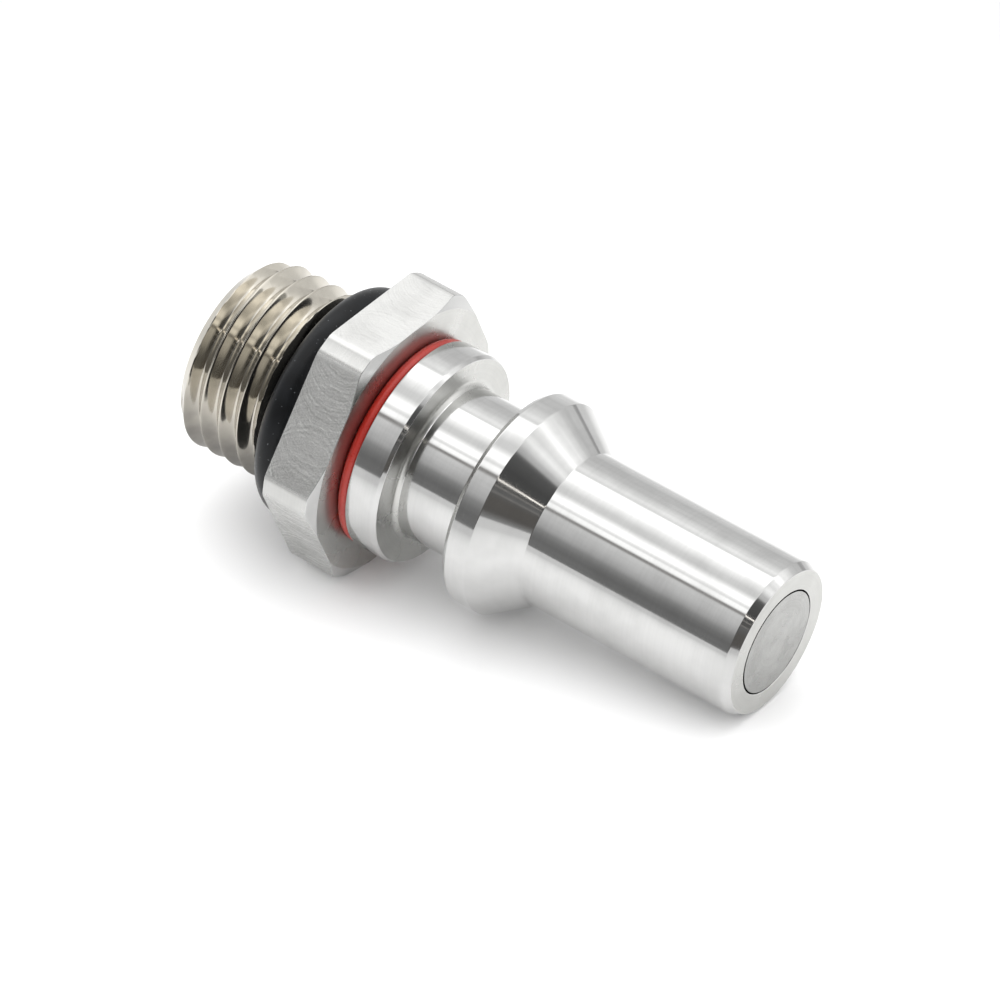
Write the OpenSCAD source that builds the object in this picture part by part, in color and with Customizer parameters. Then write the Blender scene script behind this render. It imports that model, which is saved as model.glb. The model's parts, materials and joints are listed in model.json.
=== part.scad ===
// Quick disconnect plug, the male half of a flush-face hydraulic coupling.
// It lies as it comes to rest: on one flat of its hexagon and on the edge of its nose.

/* [Nose] */
// Diameter of the nose, the part that enters the socket
nose_d = 11.3; // [10.6:0.1:12.4]
// Length of the plain nose, from the foot of the ramp to the nose face
nose_len = 16.8; // [14:0.1:24]
// Length of the bevel round the nose face
nose_bevel_len = 0.65; // [0.3:0.05:1]
// Depth of that bevel, measured on the radius
nose_bevel_depth = 0.35; // [0.2:0.05:0.6]

/* [Locking rim] */
// Diameter of the rim that the socket's balls lock behind
rim_d = 15.7; // [14.6:0.1:16.2]
// Length of the rim's cylinder, with the bevel at its back
rim_len = 1.95; // [1.2:0.05:3]
// Length of the ramp that pushes the balls out
ramp_len = 3.05; // [2:0.05:4.5]
// Length of the small bevel behind the rim
rim_bevel_len = 0.35; // [0.2:0.05:0.6]
// Depth of that bevel, measured on the radius
rim_bevel_depth = 0.22; // [0.1:0.02:0.5]

/* [Neck and collar] */
// Diameter of the neck, the floor of the locking groove
neck_d = 11.2; // [11:0.1:12]
// Length of the neck
neck_len = 5.5; // [4:0.1:7]
// Radius of the fillet at each end of the neck
neck_fillet = 0.45; // [0.2:0.05:0.8]
// Diameter of the collar that stops the socket's sleeve
collar_d = 15.45; // [14.6:0.05:16.2]
// Length of the collar
collar_len = 2.47; // [2.2:0.01:4]
// Bevel on the collar's front edge
collar_bevel = 0.25; // [0.1:0.05:0.5]

/* [Marker ring] */
// Diameter of the marker ring's cord
marker_cord_d = 0.88; // [0.6:0.02:1]
// How far the marker ring stays below the collar
marker_recess = 0.08; // [0:0.02:0.2]
// Clearance on the radius between the marker ring and the shoulder inside it
marker_clearance = 0.11; // [0.05:0.01:0.2]

/* [Hexagon] */
// Width of the hexagon across its flats
hex_af = 19; // [18:0.5:22]
// How much of each corner is turned off, measured on the radius
hex_corner_cut = 0.45; // [0.1:0.01:0.8]
// Length of the hexagon
hex_len = 3.95; // [3.4:0.05:8]
// How far outside the flats the bevel of the front face starts
hex_bevel_margin = 0.2; // [0.05:0.05:0.4]
// Angle of that bevel, measured from the face
hex_bevel_angle = 25; // [15:1:40]

/* [Port thread] */
// Outer diameter of the port thread
thread_d = 14; // [13:0.5:16]
// Length from the hexagon to the end of the thread
thread_len = 10.15; // [9:0.05:14]
// Bevel at the end of the thread, at 45 degrees
thread_bevel = 0.85; // [0.5:0.05:1.2]
// Diameter of the smooth seat of the port seal
seal_seat_d = 12; // [11:0.1:12.2]
// Length of that seat
seal_seat_len = 2.75; // [2.3:0.05:3.2]
// Diameter of the port seal's cord
port_seal_cord_d = 2.6; // [1.8:0.05:2.7]
// Gap between the port seal and the hexagon before the plug is screwed down
port_seal_gap = 0.15; // [0.05:0.05:0.3]

/* [Flow way] */
// Diameter of the bore through the port thread
port_bore_d = 8; // [7:0.1:8.4]
// Bevel at the mouth of that bore
port_bore_bevel = 0.5; // [0.2:0.1:1]
// Diameter of the valve chamber
chamber_d = 9.1; // [8.8:0.1:9.4]
// Diameter of the hole in the nose face
face_hole_d = 7.72; // [7.4:0.02:7.8]
// Length of that hole, up to the cone that the valve seats on
face_hole_len = 3; // [2.6:0.1:4]

/* [Screwed joint] */
// Outer diameter of the spigot that screws into the hexagon
spigot_d = 12; // [11.6:0.1:12.4]
// Depth of the screwed joint below the hexagon's front face
spigot_len = 2.75; // [2.4:0.05:3.1]
// Thickness of the gasket at the bottom of the joint
gasket_t = 0.5; // [0.3:0.05:0.7]
// Clearance on the radius between the two joint cylinders
joint_clearance = 0.02; // [0.01:0.01:0.05]

/* [Valve] */
// Diameter of the valve disc that closes the nose
disc_d = 7.5; // [7.2:0.02:7.6]
// Diameter of the valve's flange
flange_d = 8.5; // [8.2:0.05:8.7]
// Length of the flange
flange_len = 1.3; // [0.8:0.1:2]
// Clearance between the valve's cone and its seat
seat_clearance = 0.06; // [0.02:0.02:0.1]
// Width of the flutes milled across the flange
flute_w = 1.8; // [1.2:0.1:2.2]
// Depth of those flutes
flute_depth = 0.9; // [0.5:0.1:1.1]
// Number of flutes
flute_count = 4; // [3:1:6]
// Diameter of the boss that centres the spring
boss_d = 4.3; // [3.6:0.1:4.5]
// Length of that boss
boss_len = 2; // [1:0.1:3]
// Diameter of the stem
stem_d = 2.5; // [2:0.1:3]
// Length of stem that stands out behind the guide when the valve is shut
stem_end_len = 2.2; // [1:0.1:4]
// Travel of the valve
valve_travel = 5; // [4:0.1:7]
// Diameter of the valve seal's cord
valve_seal_cord_d = 1; // [0.8:0.05:1.2]
// Distance of the valve seal's groove from the nose face
valve_seal_setback = 0.8; // [0.6:0.1:1.2]
// Clearance on the radius between the valve seal and the hole in the nose
valve_seal_clearance = 0.02; // [0.01:0.01:0.05]

/* [Valve guide and spring] */
// Length of the guide
guide_len = 2.4; // [1.6:0.1:3]
// Length of the hub's boss, which centres the spring
guide_boss_len = 1.2; // [0.6:0.1:2]
// Clearance on the radius between the guide and the chamber
guide_clearance = 0.04; // [0.02:0.01:0.1]
// Thickness of the guide's outer ring
guide_ring_t = 0.65; // [0.5:0.05:1]
// Diameter of the guide's hub
guide_hub_d = 4.2; // [3.6:0.1:4.8]
// Width of the guide's arms
guide_arm_w = 1.2; // [0.8:0.1:1.6]
// Number of arms
guide_arm_count = 3; // [3:1:4]
// Clearance on the radius between the stem and its hole
stem_clearance = 0.05; // [0.02:0.01:0.1]
// Thickness of the retaining ring
clip_t = 0.7; // [0.5:0.05:0.9]
// Depth of the retaining ring's groove
clip_groove_depth = 0.5; // [0.3:0.05:0.6]
// Width of the retaining ring's section
clip_w = 0.95; // [0.8:0.05:1.2]
// Diameter of the retaining ring's two eyes
clip_eye_d = 1.7; // [1.5:0.1:2]
// Diameter of the hole in each eye
clip_eye_hole_d = 0.8; // [0.6:0.1:0.9]
// Half of the angle left open between the retaining ring's ends
clip_gap_angle = 22; // [20:1:34]
// Angle by which each eye is set back from the ring's end
clip_eye_setback = 7; // [4:1:12]
// Clearance between the retaining ring and its groove
clip_clearance = 0.04; // [0.02:0.01:0.08]
// Distance from the bottom of the joint to the retaining ring's groove
clip_setback = 3.4; // [2.4:0.1:4.4]
// Diameter of the spring's wire
wire_d = 0.7; // [0.5:0.05:0.8]
// Clearance on the radius between the boss and the spring
spring_clearance = 0.12; // [0.05:0.01:0.2]
// Number of working turns
spring_turns = 9; // [6:1:12]

/* [Hidden] */
$fn = 96;
// Straight steps in one turn of the spring, sides of its wire and steps in a fillet
SPRING_STEPS = 18;
WIRE_SIDES = 8;
FILLET_STEPS = 5;
// Surplus of a cut past the face that it opens
CUT = 1;

// Stations along the axis, from the hexagon's rear face, which seats on the port, to the nose
hex_front = hex_len;
collar_rear = hex_front + marker_cord_d;
collar_front = collar_rear + collar_len;
rim_rear = collar_front + neck_len;
rim_front = rim_rear + rim_len;
ramp_foot = rim_front + ramp_len;
nose_face = ramp_foot + nose_len;
thread_end = -thread_len;
spigot_end = hex_front - spigot_len;
joint_floor = spigot_end - gasket_t;

// Radii
hex_half = hex_af / 2;
hex_corner_r = hex_half / cos(30) - hex_corner_cut;
hex_bevel_r = hex_half + hex_bevel_margin;
nose_r = nose_d / 2;
rim_r = rim_d / 2;
neck_r = neck_d / 2;
collar_r = collar_d / 2;
marker_inner_r = collar_r - marker_recess - marker_cord_d;
shoulder_r = marker_inner_r - marker_clearance;
spigot_r = spigot_d / 2;
chamber_r = chamber_d / 2;
face_hole_r = face_hole_d / 2;
disc_r = disc_d / 2;
flange_r = flange_d / 2;

// The valve seat is a 45 degree cone between the face hole and the chamber
seat_front = nose_face - face_hole_len;
seat_rear = seat_front - (chamber_r - face_hole_r);
// The valve's cone starts where the disc's own cylinder would meet the seat, less the clearance
valve_cone_front = seat_front + (face_hole_r - disc_r) - seat_clearance * sqrt(2);
valve_cone_rear = valve_cone_front - (flange_r - disc_r);
flange_rear = valve_cone_rear - flange_len;
valve_groove_len = valve_seal_cord_d + 0.3;
valve_groove_r = face_hole_r - valve_seal_clearance - valve_seal_cord_d;
valve_groove_front = nose_face - valve_seal_setback;

// The guide stands on the retaining ring, and the ring in its groove
clip_groove_rear = joint_floor + clip_setback;
clip_rear = clip_groove_rear + clip_clearance;
clip_front = clip_rear + clip_t;
clip_groove_front = clip_front + clip_clearance;
guide_rear = clip_front;
guide_front = guide_rear + guide_len;
guide_r = chamber_r - guide_clearance;
stem_rear = guide_rear - stem_end_len;
stem_r = stem_d / 2;

// The spring stands between the guide and the flange
spring_inner_r = boss_d / 2 + spring_clearance;
spring_mean_r = spring_inner_r + wire_d / 2;
spring_len = flange_rear - guide_front;

// Outline of the plug body from its shoulder to the nose face, as points of radius and station
body_outline = concat(
    [[shoulder_r, hex_front], [shoulder_r, collar_rear], [collar_r, collar_rear]],
    [[collar_r, collar_front - collar_bevel], [collar_r - collar_bevel, collar_front]],
    fillet(neck_r, collar_front, 1),
    fillet(neck_r, rim_rear, -1),
    [[rim_r - rim_bevel_depth, rim_rear], [rim_r, rim_rear + rim_bevel_len]],
    [[rim_r, rim_front], [nose_r, ramp_foot]],
    [[nose_r, nose_face - nose_bevel_len], [nose_r - nose_bevel_depth, nose_face]]
);
// Outline of the adapter's threaded end, from its end face to the hexagon, with a 45 degree run-out
thread_runout = (thread_d - seal_seat_d) / 2;
port_outline = [
    [thread_d / 2 - thread_bevel, thread_end], [thread_d / 2, thread_end + thread_bevel],
    [thread_d / 2, -seal_seat_len - thread_runout], [seal_seat_d / 2, -seal_seat_len], [seal_seat_d / 2, 0]
];

// The plug tips on the hexagon's front edge until the first point of its outline meets the floor
tilt = min([for (p = body_outline) if (p[1] > collar_rear) atan2(hex_half - p[0], p[1] - hex_front)]);
// Where the axis at the hexagon's rear face lies above the floor, and how far it is from the middle
axis_z = hex_half * cos(tilt) + hex_front * sin(tilt);
reach_front = max([for (p = body_outline) p[1] * cos(tilt) + p[0] * sin(tilt)]);
reach_rear = min([for (p = port_outline) p[1] * cos(tilt) - p[0] * sin(tilt)]);
axis_x = -(reach_front + reach_rear) / 2;

// A concave quarter round between a cylinder and the face at the given station.
// side is 1 where the face lies behind the cylinder and -1 where it lies in front.
function fillet(r, station, side) = [
    for (i = [0 : FILLET_STEPS])
        let (a = 90 * (side > 0 ? i : FILLET_STEPS - i) / FILLET_STEPS)
        [r + neck_fillet * (1 - sin(a)), station + side * neck_fillet * (1 - cos(a))]
];

// Height of the spring's wire centre after a number of turns: one closed turn at each end
function wire_rise(turn) =
    let (closed = wire_d, pitch = (spring_len - 2 * closed) / spring_turns)
    turn < 1 ? turn * closed :
    turn < spring_turns + 1 ? closed + (turn - 1) * pitch :
    spring_len - closed + (turn - spring_turns - 1) * closed;

// Lays the axis down from +Z, nose forward and tipped to its rest
module laid_down() {
    translate([axis_x, 0, axis_z])
        rotate([0, 90 + tilt, 0])
            children();
}

// A turned solid from points of radius and station
module turned(points) {
    rotate_extrude()
        polygon(points);
}

// A cylinder between two stations
module rod(r, from, to) {
    translate([0, 0, from])
        cylinder(r = r, h = to - from);
}

// A ring of round section
module cord_ring(inner_r, cord_d, station) {
    translate([0, 0, station])
        rotate_extrude()
            translate([inner_r + cord_d / 2, 0])
                circle(d = cord_d, $fn = 32);
}

// Turned in one piece: nose, ramp, locking rim, neck, collar and threaded spigot
module plug_body() {
    spigot = [[0, spigot_end], [spigot_r - joint_clearance, spigot_end], [spigot_r - joint_clearance, hex_front]];
    color("gainsboro")
        laid_down()
            difference() {
                turned(concat(spigot, body_outline, [[0, nose_face]]));
                rod(face_hole_r, seat_rear, nose_face + CUT);
                turned([[0, seat_rear - CUT], [chamber_r, seat_rear - CUT], [chamber_r, seat_rear],
                        [face_hole_r, seat_front], [0, seat_front]]);
                rod(chamber_r, spigot_end - CUT, seat_rear);
                rod(chamber_r + clip_groove_depth, clip_groove_rear, clip_groove_front);
            }
}

// Hexagon and port thread in one piece, with the threaded pocket that takes the plug body
module end_adapter() {
    bevel_len = (hex_corner_r - hex_bevel_r) * tan(hex_bevel_angle);
    color("silver")
        laid_down()
            difference() {
                union() {
                    intersection() {
                        rotate([0, 0, 30])
                            cylinder(d = hex_af / cos(30), h = hex_len, $fn = 6);
                        turned([[0, 0], [hex_corner_r, 0], [hex_corner_r, hex_len - bevel_len],
                                [hex_bevel_r, hex_len], [0, hex_len]]);
                    }
                    turned(concat([[0, thread_end]], port_outline, [[0, 0]]));
                }
                rod(port_bore_d / 2, thread_end - CUT, hex_len + CUT);
                rod(spigot_r, joint_floor, hex_len + CUT);
                translate([0, 0, thread_end])
                    cylinder(r1 = port_bore_d / 2 + port_bore_bevel, r2 = port_bore_d / 2, h = port_bore_bevel);
            }
}

// The coloured ring in the groove between collar and hexagon
module marker_ring() {
    color("firebrick")
        laid_down()
            cord_ring(marker_inner_r, marker_cord_d, hex_front + marker_cord_d / 2);
}

// The black ring that seals the hexagon against the port
module port_seal() {
    color([0.1, 0.1, 0.11])
        laid_down()
            cord_ring(seal_seat_d / 2, port_seal_cord_d, -port_seal_gap - port_seal_cord_d / 2);
}

// Flat gasket between the spigot and the floor of the pocket
module joint_gasket() {
    color("ivory")
        laid_down()
            difference() {
                rod(spigot_r - joint_clearance, joint_floor, spigot_end);
                rod(chamber_r, joint_floor - CUT, spigot_end + CUT);
            }
}

// Disc, seal groove, seat cone, fluted flange, spring boss and stem in one turned piece
module valve() {
    color("lightgray")
        laid_down()
            difference() {
                turned([
                    [0, stem_rear], [stem_r, stem_rear], [stem_r, flange_rear - boss_len],
                    [boss_d / 2, flange_rear - boss_len], [boss_d / 2, flange_rear],
                    [flange_r, flange_rear], [flange_r, valve_cone_rear], [disc_r, valve_cone_front],
                    [disc_r, valve_groove_front - valve_groove_len],
                    [valve_groove_r, valve_groove_front - valve_groove_len],
                    [valve_groove_r, valve_groove_front], [disc_r, valve_groove_front],
                    [disc_r, nose_face], [0, nose_face]
                ]);
                for (i = [0 : flute_count - 1])
                    rotate([0, 0, 360 * i / flute_count])
                        translate([flange_r - flute_depth, -flute_w / 2, flange_rear - CUT])
                            cube([flute_depth + CUT, flute_w, valve_cone_front - flange_rear + CUT]);
            }
}

// The ring that seals the valve disc in the hole of the nose
module valve_seal() {
    color([0.1, 0.1, 0.11])
        laid_down()
            cord_ring(valve_groove_r, valve_seal_cord_d, valve_groove_front - valve_groove_len / 2);
}

// Round wire spring with closed ends, ground flat
module valve_spring() {
    turns = spring_turns + 2;
    steps = turns * SPRING_STEPS;
    wire = [
        for (i = [0 : steps]) for (k = [0 : WIRE_SIDES - 1])
            let (
                a = 360 * i / SPRING_STEPS,
                w = 360 * k / WIRE_SIDES,
                r = spring_mean_r + wire_d / 2 * cos(w)
            )
            [r * cos(a), r * sin(a), guide_front + wire_rise(i / SPRING_STEPS) + wire_d / 2 * sin(w)]
    ];
    skin = [
        for (i = [0 : steps - 1]) for (k = [0 : WIRE_SIDES - 1])
            let (n = (k + 1) % WIRE_SIDES, b = i * WIRE_SIDES)
            [b + k, b + k + WIRE_SIDES, b + n + WIRE_SIDES, b + n]
    ];
    first_end = [for (k = [0 : WIRE_SIDES - 1]) k];
    last_end = [for (k = [WIRE_SIDES - 1 : -1 : 0]) steps * WIRE_SIDES + k];
    color("darkgray")
        laid_down()
            intersection() {
                polyhedron(points = wire, faces = concat(skin, [first_end, last_end]), convexity = 10);
                rod(chamber_r, guide_front, flange_rear);
            }
}

// Ring, hub and arms that carry the stem and let the oil through
module valve_guide() {
    color("goldenrod")
        laid_down()
            difference() {
                turned([
                    [0, guide_rear], [guide_r, guide_rear], [guide_r, guide_front],
                    [guide_hub_d / 2, guide_front], [guide_hub_d / 2, guide_front + guide_boss_len],
                    [0, guide_front + guide_boss_len]
                ]);
                rod(stem_r + stem_clearance, guide_rear - CUT, guide_front + guide_boss_len + CUT);
                guide_windows();
            }
}

// What is cut out of the guide between its hub, its outer ring and its arms
module guide_windows() {
    difference() {
        rod(guide_r - guide_ring_t, guide_rear - CUT, guide_front + CUT);
        rod(guide_hub_d / 2, guide_rear - 2 * CUT, guide_front + 2 * CUT);
        for (i = [0 : guide_arm_count - 1])
            rotate([0, 0, 360 * (i + 0.5) / guide_arm_count])
                translate([0, -guide_arm_w / 2, guide_rear - 2 * CUT])
                    cube([guide_r, guide_arm_w, guide_len + 4 * CUT]);
    }
}

// Open ring with two eyes, sprung into its groove behind the guide
module retaining_ring() {
    outer_r = chamber_r + clip_groove_depth - clip_clearance;
    inner_r = outer_r - clip_w;
    gap_x = chamber_d * cos(clip_gap_angle);
    gap_y = chamber_d * sin(clip_gap_angle);
    color("slategray")
        laid_down()
            intersection() {
                rod(chamber_d, clip_rear, clip_front);
                difference() {
                    union() {
                        difference() {
                            rod(outer_r, clip_rear - CUT, clip_front + CUT);
                            rod(inner_r, clip_rear - 2 * CUT, clip_front + 2 * CUT);
                            translate([0, 0, clip_rear - 2 * CUT])
                                linear_extrude(clip_t + 4 * CUT)
                                    polygon([[0, 0], [gap_x, gap_y], [gap_x, -gap_y]]);
                        }
                        for (side = [-1, 1])
                            clip_eye(side, inner_r, clip_eye_d, 2 * CUT);
                    }
                    for (side = [-1, 1])
                        clip_eye(side, inner_r, clip_eye_hole_d, 3 * CUT);
                }
            }
}

// One eye of the retaining ring, or its hole, set back from the ring's end
module clip_eye(side, ring_r, eye_d, surplus) {
    rotate([0, 0, side * (clip_gap_angle + clip_eye_setback)])
        translate([ring_r, 0, 0])
            rod(eye_d / 2, clip_rear - surplus, clip_front + surplus);
}

plug_body();
end_adapter();
marker_ring();
port_seal();
joint_gasket();
valve();
valve_seal();
valve_spring();
valve_guide();
retaining_ring();
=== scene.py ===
"""Looks of the quick disconnect plug.

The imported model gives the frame. This script rebuilds the pieces that show with finer meshes, gives every
piece a finish made for this object, and sets the studio and the camera.
"""
import json
import logging
import math
from collections.abc import Sequence
from dataclasses import dataclass
from enum import Enum, IntEnum
from typing import Any

import bmesh
import bpy
from mathutils import Matrix, Vector

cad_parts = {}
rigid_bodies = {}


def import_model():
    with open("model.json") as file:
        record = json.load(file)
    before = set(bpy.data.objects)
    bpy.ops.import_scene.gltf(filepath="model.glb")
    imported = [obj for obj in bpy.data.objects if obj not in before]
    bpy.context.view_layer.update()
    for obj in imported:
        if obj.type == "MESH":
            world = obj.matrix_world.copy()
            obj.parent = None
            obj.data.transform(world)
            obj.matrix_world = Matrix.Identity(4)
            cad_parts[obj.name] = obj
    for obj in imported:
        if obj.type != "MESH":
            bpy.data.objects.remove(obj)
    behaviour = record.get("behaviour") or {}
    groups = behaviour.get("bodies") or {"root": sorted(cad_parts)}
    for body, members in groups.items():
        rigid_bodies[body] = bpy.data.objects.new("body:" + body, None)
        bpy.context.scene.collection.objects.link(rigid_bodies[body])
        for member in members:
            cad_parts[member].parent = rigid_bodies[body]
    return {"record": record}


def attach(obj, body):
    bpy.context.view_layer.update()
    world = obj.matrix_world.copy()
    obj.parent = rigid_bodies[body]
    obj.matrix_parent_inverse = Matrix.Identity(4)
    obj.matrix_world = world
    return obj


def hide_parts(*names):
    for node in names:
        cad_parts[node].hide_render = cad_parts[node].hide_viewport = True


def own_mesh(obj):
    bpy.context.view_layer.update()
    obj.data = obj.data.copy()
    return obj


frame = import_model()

log = logging.getLogger("plug")
MM = 0.001
Outline = Sequence[tuple[float, float]]
Socket = bpy.types.NodeSocket


# Sizes and places


@dataclass(frozen=True)
class Sizes:
    """Stations along the axis and radii that the pieces share, in millimetres.

    Station 0 is the hexagon's rear face, and stations grow towards the nose.
    """

    thread_end: float = -10.15
    seat_rear: float = -2.75
    hex_front: float = 3.95
    collar_rear: float = 4.83
    collar_front: float = 7.30
    rim_rear: float = 12.80
    rim_front: float = 14.75
    ramp_foot: float = 17.80
    nose_face: float = 34.60
    thread_r: float = 7.0
    seal_seat_r: float = 6.0
    hex_half: float = 9.5
    collar_r: float = 7.725
    neck_r: float = 5.6
    rim_r: float = 7.85
    nose_r: float = 5.65
    face_hole_r: float = 3.86
    chamber_r: float = 4.55
    port_bore_r: float = 4.0
    spigot_end: float = 1.2
    joint_floor: float = 0.7
    guide_front: float = 7.24
    flange_rear: float = 29.825


SIZES = Sizes()
# Points of a mesh that are closer together than this, in millimetres, are one
WELD = 0.0005
# Faces whose direction lies along the axis by more than this share are end faces
END_FACE = 0.97


@dataclass(frozen=True)
class PlugAxis:
    """The plug's own axis: its station 0 in metres, and the way the nose points.

    Pieces are built in millimetres on an upright axis, with Z as the station, and then laid down by place().
    """

    origin: Vector
    ahead: Vector

    @classmethod
    def from_record(cls, record: dict[str, Any]) -> "PlugAxis":
        """Read the axis from the record's nose mount.

        Args:
            record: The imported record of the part.

        Returns:
            The axis, with its origin moved back from the mount to station 0.
        """
        nose = next(mount for mount in record["mounts"] if mount["name"] == "nose")
        ahead = Vector(nose["axis"]).normalized()
        middle = SIZES.ramp_foot + nose["dims"]["length_mm"] / 2
        return cls(Vector(nose["pos_m"]) - ahead * middle * MM, ahead)

    @property
    def matrix(self) -> Matrix:
        """The turn and move from the upright axis to the laid one, whose X points at the floor.

        Returns:
            The matrix, with its move in metres and without scale.
        """
        down = Vector((self.ahead.z, 0.0, -self.ahead.x))
        turn = Matrix((down, Vector((0.0, 1.0, 0.0)), self.ahead)).transposed().to_4x4()
        return Matrix.Translation(self.origin) @ turn

    def place(self, mesh: bpy.types.Mesh) -> None:
        """Lay a mesh that was built in millimetres down in the frame, in metres."""
        mesh.transform(self.matrix @ Matrix.Scale(MM, 4))

    def at(self, station: float) -> Vector:
        """Give the point of the axis at a station, in metres."""
        return self.origin + self.ahead * station * MM


AXIS = PlugAxis.from_record(frame["record"])


# Node helpers


def add_node(tree: bpy.types.NodeTree, kind: str, inputs: dict[Any, Any] | None = None,
             **settings: Any) -> bpy.types.Node:
    """Add a node with its settings and its inputs.

    Args:
        tree: The node tree.
        kind: The node's type name.
        inputs: Values to set, or amounts and sockets to link, by the input's name or number.
        **settings: Attributes to set on the node before its inputs.

    Returns:
        The new node.
    """
    node = tree.nodes.new(kind)
    for name, value in settings.items():
        setattr(node, name, value)
    for key, value in (inputs or {}).items():
        given = value.socket if isinstance(value, Amount) else value
        if isinstance(given, Socket):
            tree.links.new(given, node.inputs[key])
        else:
            node.inputs[key].default_value = given
    return node


@dataclass(frozen=True)
class Amount:
    """A number that a node tree works out. Each step of a formula with it adds one node to its tree."""

    socket: Socket

    def reckon(self, operation: str, *others: "Amount | float", clamp: bool = False) -> "Amount":
        """Add a Math node that starts from this number.

        Args:
            operation: The node's operation.
            *others: Its second and third numbers.
            clamp: Whether the result is held between 0 and 1.

        Returns:
            The result.
        """
        inputs = dict(enumerate((self, *others)))
        node = add_node(self.socket.id_data, "ShaderNodeMath", inputs, operation=operation, use_clamp=clamp)
        return Amount(node.outputs[0])

    def spread(self, low: float, high: float, to_low: float, to_high: float) -> "Amount":
        """Spread the range from low to high over another one, and hold the result in that range."""
        inputs = dict(enumerate((self, low, high, to_low, to_high)))
        return Amount(add_node(self.socket.id_data, "ShaderNodeMapRange", inputs).outputs[0])

    def at_least(self, least: "Amount | float") -> "Amount":
        """Give the larger of two numbers."""
        return self.reckon("MAXIMUM", least)

    def at_most(self, most: "Amount | float") -> "Amount":
        """Give the smaller of two numbers."""
        return self.reckon("MINIMUM", most)

    def __add__(self, other: "Amount | float") -> "Amount":
        """Add another number."""
        return self.reckon("ADD", other)

    def __sub__(self, other: "Amount | float") -> "Amount":
        """Take another number away."""
        return self.reckon("SUBTRACT", other)

    def __rsub__(self, other: float) -> "Amount":
        """Take this number away from another."""
        return self.reckon("MULTIPLY_ADD", -1.0, other)

    def __mul__(self, other: "Amount | float") -> "Amount":
        """Multiply by another number."""
        return self.reckon("MULTIPLY", other)

    def __truediv__(self, other: "Amount | float") -> "Amount":
        """Divide by another number."""
        return self.reckon("DIVIDE", other)


def vectors(tree: bpy.types.NodeTree, operation: str, *values: Any, scale: Any = 1.0) -> Socket:
    """Add a Vector Math node.

    Args:
        tree: The node tree.
        operation: The node's operation.
        *values: Its vectors.
        scale: Its factor, where it scales a vector.

    Returns:
        The number that a length or a dot product gives, or else the vector.
    """
    inputs = {**dict(enumerate(values)), 3: scale}
    node = add_node(tree, "ShaderNodeVectorMath", inputs, operation=operation)
    return node.outputs["Value" if operation in ("LENGTH", "DOT_PRODUCT") else "Vector"]


def mixed(tree: bpy.types.NodeTree, share: Amount, first: Any, second: Any) -> Socket:
    """Mix two colours, which a Mix node has as its inputs 6 and 7, and give its output 2."""
    return add_node(tree, "ShaderNodeMix", {0: share, 6: first, 7: second}, data_type="RGBA").outputs[2]


def emptied(owner: bpy.types.Material | bpy.types.World) -> bpy.types.NodeTree:
    """Give the node tree of a material or a world, without its first nodes.

    Args:
        owner: The material or the world.

    Returns:
        Its empty tree.
    """
    owner.use_nodes = True
    owner.node_tree.nodes.clear()
    return owner.node_tree


def linear(hex_colour: str) -> tuple[float, float, float, float]:
    """Turn an sRGB hex colour such as "#C0C0C0" into linear RGBA.

    Args:
        hex_colour: The colour.

    Returns:
        Its linear parts, and 1.0 for the alpha.
    """
    parts = [int(hex_colour[i:i + 2], 16) / 255 for i in (1, 3, 5)]
    values = [c / 12.92 if c <= 0.04045 else ((c + 0.055) / 1.055) ** 2.4 for c in parts]
    return (values[0], values[1], values[2], 1.0)


# Finishes


class Lay(Enum):
    """Which way the tool marks of a metal surface run."""

    ROUND = "round the axis, as a lathe leaves them"
    SWIRL = "arcs across a flat, as a face mill leaves them"
    DRAWN = "none that show"


class PlugCoordinates:
    """What a material reads: the place on the plug's own axis in millimetres, and patterns laid on it."""

    def __init__(self, tree: bpy.types.NodeTree) -> None:
        """Add the nodes that turn Object coordinates to the plug's axis.

        Args:
            tree: The material's node tree.
        """
        self.tree = tree
        self.place = add_node(tree, "ShaderNodeTexCoord").outputs["Object"]
        self.normal = add_node(tree, "ShaderNodeNewGeometry").outputs["Normal"]
        self.arm = vectors(tree, "SUBTRACT", self.place, AXIS.origin)
        self.point = add_node(tree, "ShaderNodeMapping", {
            "Vector": self.place,
            "Location": AXIS.origin,
            "Rotation": AXIS.matrix.to_euler(),
            "Scale": (MM, MM, MM),
        }, vector_type="TEXTURE").outputs["Vector"]
        parts = add_node(tree, "ShaderNodeSeparateXYZ", {0: self.point}).outputs
        self.down, self.station = Amount(parts["X"]), Amount(parts["Z"])
        radius = vectors(tree, "LENGTH", vectors(tree, "MULTIPLY", self.point, (1.0, 1.0, 0.0)))
        self.along_outline = self.station + Amount(radius)

    def along_flat(self) -> Amount:
        """Give the distance along a flat of the hexagon, square to the axis."""
        side = vectors(self.tree, "CROSS_PRODUCT", AXIS.ahead, self.normal)
        return Amount(vectors(self.tree, "DOT_PRODUCT", self.arm, side)) / MM

    def across_marks(self) -> Socket:
        """Give the direction across the lathe's marks, along the outline of the turned shape."""
        round_it = vectors(self.tree, "CROSS_PRODUCT", AXIS.ahead, self.arm)
        return vectors(self.tree, "NORMALIZE", vectors(self.tree, "CROSS_PRODUCT", self.normal, round_it))

    def noise(self, size_mm: float, detail: float) -> Amount:
        """Add noise whose patches are about size_mm across."""
        inputs = {"Vector": self.point, "Scale": 1 / size_mm, "Detail": detail}
        return Amount(add_node(self.tree, "ShaderNodeTexNoise", inputs).outputs["Fac"])

    def lines(self, spacing_mm: float, along: Amount) -> Amount:
        """Add noise that changes only along one value, as tool marks spacing_mm apart do."""
        inputs = {"W": along, "Scale": 1 / spacing_mm, "Detail": 1.0}
        return Amount(add_node(self.tree, "ShaderNodeTexNoise", inputs, noise_dimensions="1D").outputs["Fac"])


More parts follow.
